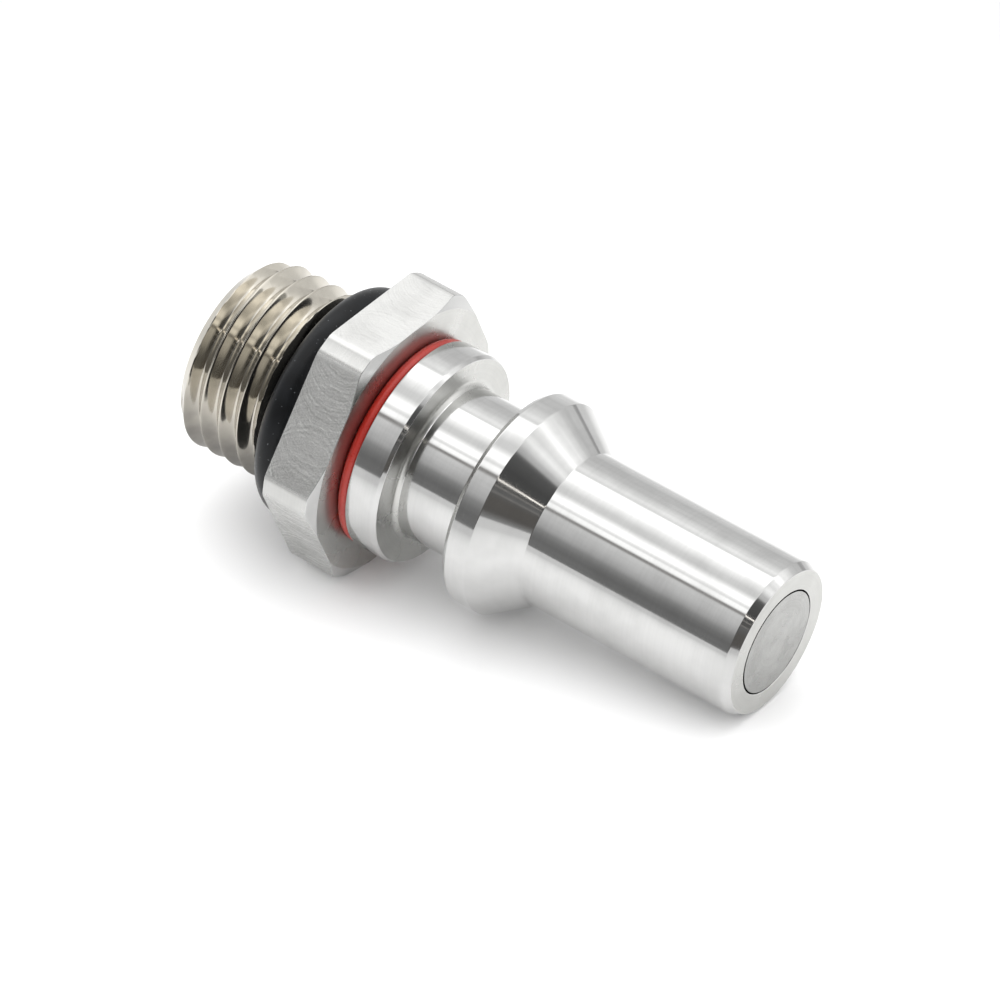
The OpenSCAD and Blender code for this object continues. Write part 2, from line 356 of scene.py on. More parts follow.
@dataclass(frozen=True)
class MetalFinish:
    """A bare metal surface with its tool marks.

    Attributes:
        name: Name of the material.
        colour: Reflected colour where the surface is clean.
        shade: Reflected colour of the duller patches and tool marks, and of the painted shade on the plug's
            lower side.
        roughness: Roughness of the surface.
        lay: Which way the tool marks run.
        mark_mm: Distance between tool marks.
        mark_depth: Strength of the tool marks' relief.
        stretch: How much the highlights stretch across the marks, from 0 to 1.
        patch_mm: Size of the duller patches.
        patch_share: How far the colour of the duller patches goes towards the shade, from 0 to 1.
        tone: How far the colour of the tool marks goes towards the shade, from 0 to 1.
        painted_under_shade: How far painted shade takes the colour of the plug's lower side towards the shade
            colour, from 0 to 1.
    """

    name: str
    colour: str
    shade: str
    roughness: float
    lay: Lay = Lay.ROUND
    mark_mm: float = 0.2
    mark_depth: float = 0.0
    stretch: float = 0.0
    patch_mm: float = 1.6
    patch_share: float = 0.5
    tone: float = 0.0
    painted_under_shade: float = 0.0

    def material(self) -> bpy.types.Material:
        """Build the node material.

        Returns:
            The new material.
        """
        material = bpy.data.materials.new(self.name)
        tree = emptied(material)
        on_plug = PlugCoordinates(tree)
        marks = self.marks(on_plug)
        patches = on_plug.noise(self.patch_mm, 3.0).spread(0.42, 0.66, 0.0, 1.0)
        lines = marks.spread(0.36, 0.64, 0.0, 1.0) * self.tone
        # Painted shade: the colour of the plug's lower side goes towards the shade colour, standing in for
        # the darker light it reflects there. It adds to the duller patches and marks
        painted_shade_below = on_plug.down.spread(-2.0, 4.0, 0.0, self.painted_under_shade)
        dull_and_painted_shade = (patches * self.patch_share + lines).reckon("ADD", painted_shade_below, clamp=True)
        shader = add_node(tree, "ShaderNodeBsdfPrincipled", {
            "Base Color": mixed(tree, dull_and_painted_shade, linear(self.colour), linear(self.shade)),
            "Metallic": 1.0,
            "Roughness": patches.spread(0.0, 1.0, self.roughness - 0.01, self.roughness + 0.02),
            "Anisotropic": self.stretch,
        })
        if self.mark_depth > 0:
            relief = {"Height": marks, "Strength": self.mark_depth, "Distance": 0.05 * MM}
            tree.links.new(add_node(tree, "ShaderNodeBump", relief).outputs[0], shader.inputs["Normal"])
        if self.stretch > 0:
            tree.links.new(on_plug.across_marks(), shader.inputs["Tangent"])
        add_node(tree, "ShaderNodeOutputMaterial", {0: shader.outputs[0]})
        return material

    def marks(self, on_plug: PlugCoordinates) -> Amount:
        """Give the height of the tool marks for this lay, which is 0.5 on average.

        Args:
            on_plug: The material's coordinates.

        Returns:
            The height of the marks.
        """
        if self.lay is Lay.ROUND:
            return on_plug.lines(self.mark_mm, on_plug.along_outline)
        return self.swirls(on_plug) if self.lay is Lay.SWIRL else on_plug.noise(self.mark_mm, 2.0)

    def swirls(self, on_plug: PlugCoordinates, cutter_r: float = 2.7, cutter_at: float = 2.3) -> Amount:
        """Give the crossing arcs that a face mill leaves with its front and its rear.

        Args:
            on_plug: The material's coordinates.
            cutter_r: Radius of the mill, in millimetres.
            cutter_at: Station of the middle of its path.

        Returns:
            The height of the marks.
        """
        off = on_plug.station - cutter_at
        bow = (cutter_r ** 2 - off * off).reckon("SQRT")
        # The path wavers a little, and the rear of the mill cuts less deep than its front
        path = on_plug.noise(0.6, 2.0) * 0.45 + on_plug.along_flat()
        front = on_plug.lines(self.mark_mm, path - bow)
        rear = on_plug.lines(self.mark_mm * 1.3, path + bow)
        # The arcs and the grain each have their average taken away
        arcs = front * 0.5 + rear * 0.35 - 0.42
        shown = on_plug.noise(0.45, 1.0).spread(0.4, 0.6, 0.35, 1.0)
        grain = on_plug.noise(self.mark_mm * 0.6, 1.0) * 0.35 - 0.17
        # The marks show least on the flat that lies on top
        strength = on_plug.down.spread(-0.995 * SIZES.hex_half, -0.8 * SIZES.hex_half, 0.3, 1.0)
        return (arcs * shown + grain) * strength + 0.5


@dataclass(frozen=True)
class RubberFinish:
    """A moulded rubber or plain polymer surface.

    Attributes:
        name: Name of the material.
        colour: Colour of the clean surface.
        bloom: Colour of the paler patches.
        roughness: Roughness of the surface.
        dust: Colour of the few dust specks.
        dust_from: Height of the noise from which a speck shows. The higher it is, the fewer specks there are.
        gloss: Specular level.
    """

    name: str
    colour: str
    bloom: str
    roughness: float
    dust: str
    dust_from: float
    gloss: float

    def material(self) -> bpy.types.Material:
        """Build the node material.

        Returns:
            The new material.
        """
        material = bpy.data.materials.new(self.name)
        tree = emptied(material)
        on_plug = PlugCoordinates(tree)
        patches = on_plug.noise(1.4, 3.0).spread(0.4, 0.7, 0.0, 1.0)
        specks = on_plug.noise(0.16, 0.0).spread(self.dust_from, self.dust_from + 0.02, 0.0, 1.0)
        grain = on_plug.noise(0.12, 2.0)
        body = mixed(tree, patches, linear(self.colour), linear(self.bloom))
        bump = add_node(tree, "ShaderNodeBump", {"Height": grain, "Strength": 0.12, "Distance": 0.02 * MM})
        shader = add_node(tree, "ShaderNodeBsdfPrincipled", {
            "Base Color": mixed(tree, specks, body, linear(self.dust)),
            "Roughness": grain.spread(0.3, 0.7, self.roughness - 0.04, self.roughness + 0.05),
            "IOR": 1.52,
            "Specular IOR Level": self.gloss,
            "Normal": bump.outputs[0],
        })
        add_node(tree, "ShaderNodeOutputMaterial", {0: shader.outputs[0]})
        return material


# Stainless steel, fine turned and polished: reflections stay crisp round the axis and blur a little along it.
# The real lathe marks are a few hundredths of a millimetre apart, and are drawn coarser so that they show
TURNED_STAINLESS = MetalFinish(
    "fine_turned_stainless", "#C9C9C8", "#B9B9B8", roughness=0.09, mark_depth=0.003, stretch=0.35,
    patch_mm=2.2, tone=0.12)
# The same steel on turned end faces, where each ring left by the tool shows a little more
FACED_STAINLESS = MetalFinish(
    "end_faced_stainless", "#C4C4C1", "#B4B4B1", roughness=0.28, mark_mm=0.22, stretch=0.45,
    patch_mm=3.0, tone=0.2)
# Flats of the hexagon: face milled, so broad dull reflections with crossing arcs of fine scratches.
# The lower flats also take painted shade
MILLED_STAINLESS = MetalFinish(
    "face_milled_stainless", "#EDEDEB", "#A0A09E", roughness=0.42, lay=Lay.SWIRL, mark_mm=0.17,
    mark_depth=0.7, patch_mm=2.4, patch_share=0.15, tone=0.6, painted_under_shade=0.4)
# Corners of the hexagon, left from the turned bar
CORNER_STAINLESS = MetalFinish(
    "bar_turned_stainless", "#C5C5C3", "#B7B7B5", roughness=0.28, stretch=0.2, tone=0.2)
# Thread: cut, then nickel plated, so warmer than the turned steel, and without marks that show.
# Its lower side takes strong painted shade
PLATED_THREAD = MetalFinish(
    "plated_thread", "#CBC6BB", "#878480", roughness=0.09, patch_mm=1.8, patch_share=0.2, painted_under_shade=0.8)
# Valve disc: faced in one cut, with rings that draw a soft streak out to its edge.
# Its lower part takes painted shade
VALVE_STAINLESS = MetalFinish(
    "valve_face_stainless", "#AEAEAC", "#9A9A98", roughness=0.26, stretch=0.7, tone=0.25, painted_under_shade=0.6)
# Drawn spring wire, dull grey
SPRING_WIRE = MetalFinish(
    "drawn_spring_wire", "#B4B4B2", "#9C9C9A", roughness=0.30, lay=Lay.DRAWN, mark_mm=0.3, mark_depth=0.04,
    patch_mm=0.9)
# Turned free-cutting brass
GUIDE_BRASS = MetalFinish(
    "turned_brass", "#D9B56A", "#C79F55", roughness=0.26, mark_mm=0.12, mark_depth=0.04, stretch=0.4)
# Phosphated spring steel, dark and dull
SPRING_STEEL = MetalFinish(
    "phosphated_steel", "#7C7F84", "#62656A", roughness=0.42, lay=Lay.DRAWN, mark_depth=0.08, patch_mm=0.7)
# Nitrile rubber, black, with a slight bloom and a few specks of dust
BLACK_RUBBER = RubberFinish(
    "black_nitrile", "#111214", "#16181B", roughness=0.33, dust="#5A5D60", dust_from=0.81, gloss=0.18)
# Nitrile rubber, red
RED_RUBBER = RubberFinish(
    "red_nitrile", "#A82419", "#B02C1F", roughness=0.30, dust="#D98C80", dust_from=0.88, gloss=0.55)
# Cut sheet of white fluoropolymer, waxy
WHITE_GASKET = RubberFinish(
    "white_fluoropolymer", "#E6E5DF", "#DAD9D2", roughness=0.48, dust="#C9C7BE", dust_from=0.76, gloss=0.4)


class Skin(IntEnum):
    """Which metal surface a face of the body or the end adapter has, numbered as in METALS."""

    TURNED = 0
    FACED = 1
    MILLED = 2
    THREAD = 3
    CORNER = 4


METALS = (TURNED_STAINLESS, FACED_STAINLESS, MILLED_STAINLESS, PLATED_THREAD, CORNER_STAINLESS)


def material_of(finish: MetalFinish | RubberFinish) -> bpy.types.Material:
    """Give the material of a finish, which is built the first time."""
    return bpy.data.materials.get(finish.name) or finish.material()


# Mesh helpers


def polar(radius: float, angle: float, station: float) -> Vector:
    """Give the point at a radius, an angle and a station of the upright axis."""
    return Vector((radius * math.cos(angle), radius * math.sin(angle), station))


def turned_ring(radius: float, station: float, sides: int) -> list[Vector]:
    """Give one ring of a turned shape, or its single point where the radius is 0."""
    count = sides if radius > 0 else 1
    return [polar(radius, 2 * math.pi * i / sides, station) for i in range(count)]


def add_rings(shape: bmesh.types.BMesh, rings: Sequence[Sequence[Vector]], closed: bool) -> None:
    """Skin a row of rings, each with one point for every column or a single point on the axis.

    Args:
        shape: The mesh to add to.
        rings: The rings, in order along the outline.
        closed: Whether the last ring joins the first.
    """
    made = [[shape.verts.new(point) for point in ring] for ring in rings]
    following = made[1:] + made[:1] if closed else made[1:]
    for first, second in zip(made, following):
        for i in range(max(len(first), len(second))):
            j = i + 1
            corners = [ring[k % len(ring)] for ring, k in ((first, i), (first, j), (second, j), (second, i))]
            face = list(dict.fromkeys(corners))
            if len(face) > 2:
                shape.faces.new(face)


def turned(outline: Outline, sides: int) -> bmesh.types.BMesh:
    """Turn an outline round the axis into a closed shape.

    Args:
        outline: Points of radius and station. It either starts and ends on the axis or runs round a hollow.
        sides: Number of columns round the axis.

    Returns:
        The shape, with its faces pointing outwards.
    """
    shape = bmesh.new()
    closed = outline[0][0] > 0 and outline[-1][0] > 0
    add_rings(shape, [turned_ring(radius, station, sides) for radius, station in outline], closed)
    bmesh.ops.recalc_face_normals(shape, faces=shape.faces)
    return shape


def fillet(radius: float, station: float, size: float, start: float, steps: int = 6) -> Outline:
    """Give the points of a quarter fillet, which runs back from its first angle.

    Args:
        radius: Radius of its centre from the axis.
        station: Station of its centre.
        size: Its own radius.
        start: Angle of its first point in degrees, from the radius towards the station.
        steps: Number of straight steps.

    Returns:
        Points of radius and station.
    """
    angles = [math.radians(start - 90 * i / steps) for i in range(steps + 1)]
    return [(radius + size * math.cos(a), station + size * math.sin(a)) for a in angles]


def baked(obj: bpy.types.Object) -> None:
    """Turn an object's modifiers into a plain mesh.

    Args:
        obj: The object.
    """
    graph = bpy.context.evaluated_depsgraph_get()
    result = obj.evaluated_get(graph)
    mesh = bpy.data.meshes.new_from_object(result, preserve_all_data_layers=True, depsgraph=graph)
    obj.modifiers.clear()
    old, obj.data = obj.data, mesh
    bpy.data.meshes.remove(old)
    mesh.name = obj.name


def linked(name: str, data: bpy.types.ID) -> bpy.types.Object:
    """Put a mesh or a camera into a new object of the scene.

    Args:
        name: Name of the object.
        data: The mesh or the camera.

    Returns:
        The new object.
    """
    obj = bpy.data.objects.new(name, data)
    bpy.context.scene.collection.objects.link(obj)
    return obj


def make_object(name: str, shape: bmesh.types.BMesh) -> bpy.types.Object:
    """Put a built shape into an object of the scene, with smooth shading.

    Args:
        name: Name of the object.
        shape: The shape, which is used up.

    Returns:
        The new object.
    """
    mesh = bpy.data.meshes.new(name)
    shape.to_mesh(mesh)
    shape.free()
    mesh.shade_smooth()
    return linked(name, mesh)


def break_edges(obj: bpy.types.Object, width: float, angle: float = 24.0) -> None:
    """Break the edges sharper than an angle by a small round, in millimetres, and bake it.

    Args:
        obj: An object in millimetres on the upright axis.
        width: Width of the round.
        angle: The angle, in degrees.
    """
    bevel = obj.modifiers.new("edge break", "BEVEL")
    bevel.width = width
    bevel.segments = 2
    bevel.limit_method = "ANGLE"
    bevel.angle_limit = math.radians(angle)
    bevel.use_clamp_overlap = True
    baked(obj)


def even_shading(obj: bpy.types.Object, above: float = -math.inf, weight: int = 90) -> None:
    """Let the large faces set the shading above a station, so that flats look flat up to their edges.

    Args:
        obj: An object in millimetres on the upright axis.
        above: The station.
        weight: How much a face's size counts, from 1 to 100.
    """
    group = obj.vertex_groups.new(name="evened")
    group.add([vertex.index for vertex in obj.data.vertices if vertex.co.z > above], 1.0, "REPLACE")
    modifier = obj.modifiers.new("even shading", "WEIGHTED_NORMAL")
    modifier.weight, modifier.vertex_group = weight, group.name
    baked(obj)
    obj.vertex_groups.clear()


def dress(obj: bpy.types.Object, *finishes: MetalFinish | RubberFinish) -> None:
    """Give an object its materials, in the order of its faces' numbers.

    Args:
        obj: The object.
        *finishes: The finish of each material.
    """
    obj.data.materials.clear()
    for finish in finishes:
        obj.data.materials.append(material_of(finish))


def hand_over(obj: bpy.types.Object, body: str, node: str) -> None:
    """Lay a finished piece down in the frame, put it on its body and hide the CAD node that it replaces.

    Args:
        obj: The piece, built in millimetres on the upright axis.
        body: The body that it rides on.
        node: The CAD node that it replaces.
    """
    AXIS.place(obj.data)
    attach(obj, body)
    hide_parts(node)
    log.info("%s: %d faces on %s", obj.name, len(obj.data.polygons), body)


class ShapeTree:
    """A Geometry Nodes tree with named inputs, which ends in Realize Instances and Set Material.

    Attributes:
        sizes: Its inputs that are sizes, in their order.
        counts: Its inputs that are whole numbers, in their order.
    """

    def __init__(self, name: str, sizes: dict[str, float], counts: dict[str, int]) -> None:
        """Start the tree with its inputs.

        Args:
            name: Name of the tree.
            sizes: Names and values of the sizes.
            counts: Names and values of the whole numbers.
        """
        self.tree = bpy.data.node_groups.new(name, "GeometryNodeTree")
        self.values = {**sizes, **counts}
        kinds = [*((size, "Float") for size in sizes), *((count, "Int") for count in counts)]
        face = self.tree.interface
        face.new_socket("Geometry", in_out="OUTPUT", socket_type="NodeSocketGeometry")
        for label, kind in (*kinds, ("Material", "Material")):
            face.new_socket(label, in_out="INPUT", socket_type="NodeSocket" + kind)
        self.given = add_node(self.tree, "NodeGroupInput").outputs
        self.sizes = [Amount(self.given[label]) for label in sizes]
        self.counts = [Amount(self.given[label]) for label in counts]

    def add(self, kind: str, inputs: dict[Any, Any] | None = None) -> Socket:
        """Add a node and give its first output."""
        return add_node(self.tree, kind, inputs).outputs[0]

    def place(self) -> list[Amount]:
        """Give the X, Y and Z of each point."""
        parts = add_node(self.tree, "ShaderNodeSeparateXYZ", {0: self.add("GeometryNodeInputPosition")})
        return [Amount(part) for part in parts.outputs]

    def moved(self, shape: Socket, x: Amount, y: Amount, z: Amount) -> Socket:
        """Move each point of a shape to a new place."""
        point = self.add("ShaderNodeCombineXYZ", {0: x, 1: y, 2: z})
        return self.add("GeometryNodeSetPosition", {"Geometry": shape, "Position": point})

    def run(self, name: str, shape: Socket, finish: MetalFinish) -> bpy.types.Object:
        """End the tree with a shape, run it on an empty mesh and bake it.

        Args:
            name: Name of the new object.
            shape: What the tree gives out.
            finish: Its finish.

        Returns:
            The object, with a plain mesh in millimetres on the upright axis.
        """
        real = self.add("GeometryNodeRealizeInstances", {0: shape})
        dressed = self.add("GeometryNodeSetMaterial", {"Geometry": real, "Material": self.given["Material"]})
        add_node(self.tree, "NodeGroupOutput", {0: dressed})
        obj = linked(name, bpy.data.meshes.new(name))
        modifier = obj.modifiers.new(self.tree.name, "NODES")
        modifier.node_group = self.tree
        values = {**self.values, "Material": material_of(finish)}
        for item in self.tree.interface.items_tree:
            if item.in_out == "INPUT":
                modifier[item.identifier] = values[item.name]
        baked(obj)
        return obj


# Pieces

# Their sizes are in millimetres and degrees. A bevel has its length along the axis first, then its depth.
# A groove or a cone ends with its rear and its front station, and a facing is a share of a face's direction


@dataclass
class PlugBody:
    """Nose, ramp, locking rim, neck, collar and spigot, turned in one piece with its valve chamber."""

    sides: int = 256
    edge_break: float = 0.05
    nose_bevel: tuple[float, float] = (0.65, 0.35)
    rim_bevel: tuple[float, float] = (0.35, 0.22)
    collar_bevel: tuple[float, float] = (0.31, 0.15)
    neck_fillet: float = 0.45
    shoulder_r: float = 6.655
    spigot_r: float = 5.98
    face_hole_depth: float = 3.0
    valve_seat_len: float = 0.69
    clip_groove: tuple[float, float] = (4.10, 4.88)
    clip_groove_depth: float = 0.5
    fillet_facing: float = 0.3

    def outline(self) -> Outline:
        """Give the outline from the spigot along the outside to the nose and back through the bore.

        Returns:
            Points of radius and station.
        """
        s = SIZES
        seat_front, groove_r = s.nose_face - self.face_hole_depth, s.chamber_r + self.clip_groove_depth
        fillet_r = s.neck_r + self.neck_fillet
        return [
            (self.spigot_r, s.spigot_end), (self.spigot_r, s.hex_front), (self.shoulder_r, s.hex_front),
            (self.shoulder_r, s.collar_rear), (s.collar_r, s.collar_rear),
            (s.collar_r, s.collar_front - self.collar_bevel[0]),
            (s.collar_r - self.collar_bevel[1], s.collar_front),
            *fillet(fillet_r, s.collar_front + self.neck_fillet, self.neck_fillet, 270),
            *fillet(fillet_r, s.rim_rear - self.neck_fillet, self.neck_fillet, 180),
            (s.rim_r - self.rim_bevel[1], s.rim_rear), (s.rim_r, s.rim_rear + self.rim_bevel[0]),
            (s.rim_r, s.rim_front), (s.nose_r, s.ramp_foot),
            (s.nose_r, s.nose_face - self.nose_bevel[0]), (s.nose_r - self.nose_bevel[1], s.nose_face),
            (s.face_hole_r, s.nose_face), (s.face_hole_r, seat_front),
            (s.chamber_r, seat_front - self.valve_seat_len),
            (s.chamber_r, self.clip_groove[1]), (groove_r, self.clip_groove[1]),
            (groove_r, self.clip_groove[0]), (s.chamber_r, self.clip_groove[0]), (s.chamber_r, s.spigot_end),
        ]

    def skin(self, face: bpy.types.MeshPolygon) -> Skin:
        """Tell which surface a face has. The fillet at the collar shows the rings of its end face.

        Args:
            face: A face of the finished piece, on the upright axis.

        Returns:
            The surface.
        """
        in_fillet = 0 < face.center.z - SIZES.collar_front < self.neck_fillet
        needed = self.fillet_facing if in_fillet else END_FACE
        return Skin.FACED if abs(face.normal.z) > needed else Skin.TURNED

    def build(self) -> None:
        """Build and dress the piece."""
        obj = make_object("turned_body", turned(self.outline(), self.sides))
        dress(obj, *METALS[:Skin.MILLED])
        break_edges(obj, self.edge_break)
        even_shading(obj)
        for face in obj.data.polygons:
            face.material_index = self.skin(face)
        hand_over(obj, "body", "plug_body")


@dataclass
class EndAdapter:
    """Hexagon and port thread in one piece, with the pocket that takes the turned body."""

    sides: int = 192
    corner_r: float = 10.52
    bevel_r: float = 9.7
    bevel_angle: float = 25.0
    pocket_r: float = 6.0
    mouth_bevel: float = 0.5
    edge_break: float = 0.035
    sharp_angle: float = 38.0
    pitch: float = 1.5
    thread_root_r: float = 6.16
    thread_bevel: float = 0.85
    thread_phase: float = -0.02
    thread_front: float = SIZES.seat_rear + 0.01
    thread_from: float = 4.1
    flat_from: float = 9.3
    flat_facing: float = 0.2
    corner_from: float = 10.3
    corner_facing: float = 0.995
    crest_round: float = 0.055
    root_round: float = 1.35
    rows_a_turn: int = 48

    def hex_radius(self, angle: float) -> float:
        """Give the radius of the hexagon with its turned corners at an angle about the axis."""
        off = (angle + math.pi / 6) % (math.pi / 3) - math.pi / 6
        return min(SIZES.hex_half / math.cos(off), self.corner_r)

    def hex_rings(self) -> list[list[Vector]]:
        """Give the rings of everything but the thread, from the seal seat round to the thread's end.

        Returns:
            The rings, with the same number of points each.
        """
        s = SIZES
        slope = math.tan(math.radians(self.bevel_angle))
        angles = [2 * math.pi * i / self.sides for i in range(self.sides)]
        outer = [self.hex_radius(angle) for angle in angles]
        inner = [min(radius, self.bevel_r) for radius in outer]
        bore = (
            (self.pocket_r, s.hex_front), (self.pocket_r, s.joint_floor), (s.port_bore_r, s.joint_floor),
            (s.port_bore_r, s.thread_end + self.mouth_bevel),
            (s.port_bore_r + self.mouth_bevel, s.thread_end), (s.thread_r - self.thread_bevel, s.thread_end))
        return [
            turned_ring(s.seal_seat_r, s.seat_rear, self.sides),
            turned_ring(s.seal_seat_r, 0.0, self.sides),
            [polar(r, a, 0.0) for r, a in zip(outer, angles)],
            [polar(r, a, s.hex_front - (r - i) * slope) for r, i, a in zip(outer, inner, angles)],
            [polar(i, a, s.hex_front) for i, a in zip(inner, angles)],
            *(turned_ring(radius, station, self.sides) for radius, station in bore),
        ]

    def hexagon(self) -> bpy.types.Object:
        """Build everything but the thread.

        Returns:
            The object, open where the thread goes.
        """
        shape = bmesh.new()
        add_rings(shape, self.hex_rings(), False)
        bmesh.ops.remove_doubles(shape, verts=shape.verts, dist=WELD)
        bmesh.ops.recalc_face_normals(shape, faces=shape.faces)
        obj = make_object("hexagon_and_thread", shape)
        break_edges(obj, self.edge_break)
        return obj

    def thread(self) -> bpy.types.Object:
        """Roll a grid into the thread, which runs out into a bevel at both ends.

        Returns:
            The thread's open sheet, in millimetres on the upright axis.
        """
        s = SIZES
        rows = round((s.seat_rear - s.thread_end + self.pitch) / self.pitch * self.rows_a_turn)
        tree = ShapeTree("port thread", {
            "Pitch": self.pitch, "Phase": self.thread_phase,
            "Outer radius": s.thread_r, "Root radius": self.thread_root_r,
            "Crest round": self.crest_round, "Root round": self.root_round,
            "End": s.thread_end, "End radius": s.thread_r - self.thread_bevel,
            "Seat": s.seat_rear, "Seat radius": s.seal_seat_r,
        }, {"Columns": self.sides, "Rows": rows})
        pitch, phase, outer_r, root_r, crest_round, root_round, end, end_r, seat, seat_r = tree.sizes
        columns, rows = tree.counts
        # The grid runs once round the axis along X and along the helix in Y
        grid = tree.add("GeometryNodeMeshGrid", {
            "Size X": 2 * math.pi, "Size Y": seat - end + pitch,
            "Vertices X": columns + 1, "Vertices Y": rows + 1})
        angle, along, _ = tree.place()
        helix = along + (seat + end) * 0.5 + phase
        station = (helix + angle / (2 * math.pi) * pitch).at_most(seat).at_least(end)
        turns = (helix - phase) / pitch
        from_crest = ((turns + 0.5).reckon("FRACT") - 0.5).reckon("ABSOLUTE") * 2.0
        # The distance from the crest is eased where it is short, which rounds the crest
        bend = crest_round * crest_round
        eased = (from_crest * from_crest + bend).reckon("SQRT") - crest_round
        longest = (bend + 1.0).reckon("SQRT") - crest_round
        height = (1.0 - eased / longest).at_least(0.0).reckon("POWER", root_round)
        thread_r = height * (outer_r - root_r) + root_r
        radius = thread_r.at_most(station - end + end_r).at_most(seat - station + seat_r)
        rolled = tree.moved(grid, radius * angle.reckon("COSINE"), radius * angle.reckon("SINE"), station)
        welded = tree.add("GeometryNodeMergeByDistance", {"Geometry": rolled, "Distance": WELD})
        return tree.run("thread_sheet", welded, PLATED_THREAD)

    def skin(self, face: bpy.types.MeshPolygon) -> Skin:
        """Tell which surface a face has.

        Args:
            face: A face of the finished piece, on the upright axis.

        Returns:
            The surface, by the face's place and direction.
        """
        centre, normal = face.center, face.normal
        radius = math.hypot(centre.x, centre.y)
        if centre.z < self.thread_front and radius > self.thread_from:
            return Skin.THREAD
        if abs(normal.z) > END_FACE:
            return Skin.FACED
        if radius < self.flat_from or abs(normal.z) > self.flat_facing:
            return Skin.TURNED
        outwards = (normal.x * centre.x + normal.y * centre.y) / radius
        at_corner = radius > self.corner_from and outwards > self.corner_facing
        return Skin.CORNER if at_corner else Skin.MILLED

    def build(self) -> None:
        """Build and dress the piece."""
        obj, sheet, whole = self.hexagon(), self.thread(), bmesh.new()
        whole.from_mesh(obj.data)
        whole.from_mesh(sheet.data)
        bpy.data.objects.remove(sheet)
        bmesh.ops.remove_doubles(whole, verts=whole.verts, dist=2 * WELD)
        bmesh.ops.dissolve_degenerate(whole, edges=whole.edges, dist=WELD / 50)
        bmesh.ops.recalc_face_normals(whole, faces=whole.faces)
        whole.to_mesh(obj.data)
        whole.free()
        obj.data.shade_smooth()
        obj.data.set_sharp_from_angle(angle=math.radians(self.sharp_angle))
        dress(obj, *METALS)
        even_shading(obj, self.thread_front)
        for face in obj.data.polygons:
            face.material_index = self.skin(face)
        hand_over(obj, "body", "end_adapter")


@dataclass
class SealRing:
    """A rubber ring of round section, with the faint parting line of its mould.

    Attributes:
        name: Name of the piece.
        node: CAD node that it stands for.
        slot: Material slot of the record; not used.
        finish: Its rubber.
        inner_r: Radius of what it sits on.
        cord_d: Diameter of its section.
        station: Station of its middle plane.
        sides: Number of columns round the axis.
        section: Number of points round its section.
        parting: Height of the parting line.
    """

    name: str
    node: str
    slot: str
    finish: RubberFinish
    inner_r: float
    cord_d: float
    station: float
    sides: int = 192
    section: int = 40
    parting: float = 0.006

    def outline(self) -> Outline:
        """Give the section, round but for the parting line at its inside and outside.

        Returns:
            Points of radius and station.
        """
        half = self.cord_d / 2
        points = []
        for i in range(self.section):
            angle = 2 * math.pi * i / self.section
            reach = half if i in (0, self.section // 2) else half - self.parting
            radius = self.inner_r + half + reach * math.cos(angle)
            points.append((radius, self.station + reach * math.sin(angle)))
        return points

    def build(self) -> None:
        """Build and dress the ring."""
        obj = make_object(self.name, turned(self.outline(), self.sides))
        dress(obj, self.finish)
        hand_over(obj, "body", self.node)


@dataclass
class FlushValve:
    """The valve that closes the nose: disc, seal groove, cone, fluted flange, boss and stem."""

    sides: int = 192
    edge_break: float = 0.05
    disc_r: float = 3.75
    groove: tuple[float, float, float] = (2.84, 32.5, 33.8)
    cone: tuple[float, float] = (31.125, 31.625)
    flange_r: float = 4.25
    boss_r: float = 2.15
    boss_len: float = 2.0
    stem_r: float = 1.25
    stem_rear: float = 2.64
    flute_count: int = 4
    flute_w: float = 1.8
    flute_depth: float = 0.9
    overcut: float = 1.0

    def outline(self) -> Outline:
        """Give the outline from the stem's end to the middle of the disc.

        Returns:
            Points of radius and station.
        """
        s, boss_rear = SIZES, SIZES.flange_rear - self.boss_len
        groove_r, groove_rear, groove_front = self.groove
        return [
            (0.0, self.stem_rear), (self.stem_r, self.stem_rear), (self.stem_r, boss_rear),
            (self.boss_r, boss_rear), (self.boss_r, s.flange_rear), (self.flange_r, s.flange_rear),
            (self.flange_r, self.cone[0]), (self.disc_r, self.cone[1]),
            (self.disc_r, groove_rear), (groove_r, groove_rear), (groove_r, groove_front),
            (self.disc_r, groove_front), (self.disc_r, s.nose_face), (0.0, s.nose_face),
        ]

    def flutes(self) -> bpy.types.Object:
        """Give the blocks that mill the flutes across the flange.

        Returns:
            The blocks, as one object.
        """
        shape = bmesh.new()
        rear, front = SIZES.flange_rear - self.overcut, self.cone[1]
        inner, outer = self.flange_r - self.flute_depth, self.flange_r + self.overcut
        size = Matrix.Diagonal((outer - inner, self.flute_w, front - rear, 1.0))
        place = Matrix.Translation(((outer + inner) / 2, 0.0, (front + rear) / 2))
        for i in range(self.flute_count):
            block = bmesh.ops.create_cube(shape, size=1.0)["verts"]
            turn = Matrix.Rotation(2 * math.pi * i / self.flute_count, 4, "Z")
            bmesh.ops.transform(shape, matrix=turn @ place @ size, verts=block)
        return make_object("flute_blocks", shape)

    def build(self) -> None:
        """Build and dress the valve."""
        obj = make_object("flush_valve", turned(self.outline(), self.sides))
        cutter = self.flutes()
        cut = obj.modifiers.new("flutes", "BOOLEAN")
        cut.operation, cut.object, cut.solver = "DIFFERENCE", cutter, "EXACT"
        baked(obj)
        bpy.data.objects.remove(cutter)
        break_edges(obj, self.edge_break)
        dress(obj, VALVE_STAINLESS)
        even_shading(obj)
        hand_over(obj, "valve", "valve")


